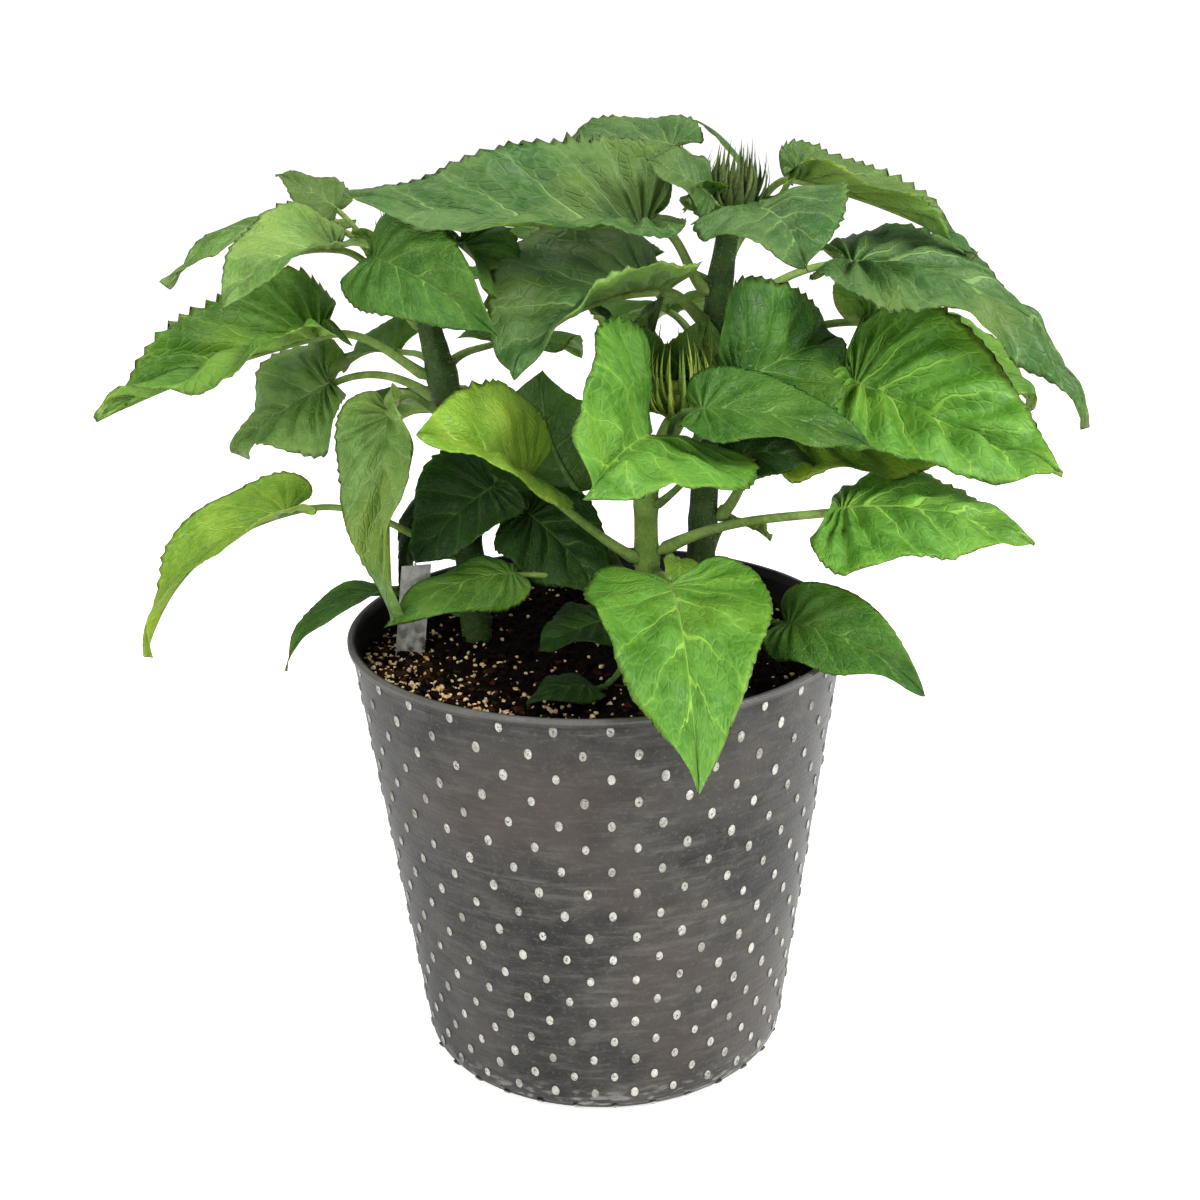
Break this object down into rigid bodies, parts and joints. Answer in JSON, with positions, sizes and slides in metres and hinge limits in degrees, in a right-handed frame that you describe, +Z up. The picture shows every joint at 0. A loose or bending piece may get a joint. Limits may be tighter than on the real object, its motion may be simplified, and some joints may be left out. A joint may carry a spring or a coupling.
{
  "type": "potted sunflower plant",
  "caption": "Young sunflower plant in bud, with broad heart-shaped leaves on upright stems, growing in a round tapered nursery pot that stands on its flat base.",
  "frame": {"origin": "middle of the pot's flat underside, where it stands", "axes": "+Z up along the pot's axis; -Y is the side the plant is seen from, +X to its right"},
  "size_m": [0.4799, 0.3198, 0.4717],
  "materials": {
    "pot_plastic": "satin, scuffed",
    "potting_mix": "crumbly, matte",
    "label_plastic": "frosted",
    "stem_green": "finely hairy",
    "bud_green": "finely hairy",
    "leaf_green": "matte, veined"
  },
  "bodies": {
    "root": {"pot": "pot_plastic", "soil": "potting_mix", "plant_label": "label_plastic", "stem_left": "stem_green", "stem_front": "stem_green", "stem_right": "stem_green", "bud_left": "bud_green", "bud_front": "bud_green", "bud_right": "bud_green", "leaf_left_01": "leaf_green", "leaf_left_02": "leaf_green", "leaf_left_03": "leaf_green", "leaf_left_04": "leaf_green", "leaf_left_05": "leaf_green", "leaf_left_06": "leaf_green", "leaf_left_07": "leaf_green", "leaf_left_08": "leaf_green", "leaf_left_09": "leaf_green", "leaf_left_10": "leaf_green", "leaf_left_11": "leaf_green", "leaf_left_12": "leaf_green", "leaf_left_13": "leaf_green", "leaf_left_14": "leaf_green", "leaf_left_15": "leaf_green", "leaf_left_16": "leaf_green", "leaf_front_01": "leaf_green", "leaf_front_02": "leaf_green", "leaf_front_03": "leaf_green", "leaf_front_04": "leaf_green", "leaf_front_05": "leaf_green", "leaf_front_06": "leaf_green", "leaf_front_07": "leaf_green", "leaf_front_08": "leaf_green", "leaf_front_09": "leaf_green", "leaf_front_10": "leaf_green", "leaf_front_11": "leaf_green", "leaf_front_12": "leaf_green", "leaf_front_13": "leaf_green", "leaf_front_14": "leaf_green", "leaf_right_01": "leaf_green", "leaf_right_02": "leaf_green", "leaf_right_03": "leaf_green", "leaf_right_04": "leaf_green", "leaf_right_05": "leaf_green", "leaf_right_06": "leaf_green", "leaf_right_07": "leaf_green", "leaf_right_08": "leaf_green", "leaf_right_09": "leaf_green", "leaf_right_10": "leaf_green", "leaf_right_11": "leaf_green", "leaf_right_12": "leaf_green", "leaf_right_13": "leaf_green", "leaf_right_14": "leaf_green", "leaf_right_15": "leaf_green", "leaf_right_16": "leaf_green", "leaf_right_17": "leaf_green"}
  },
  "joints": []
}
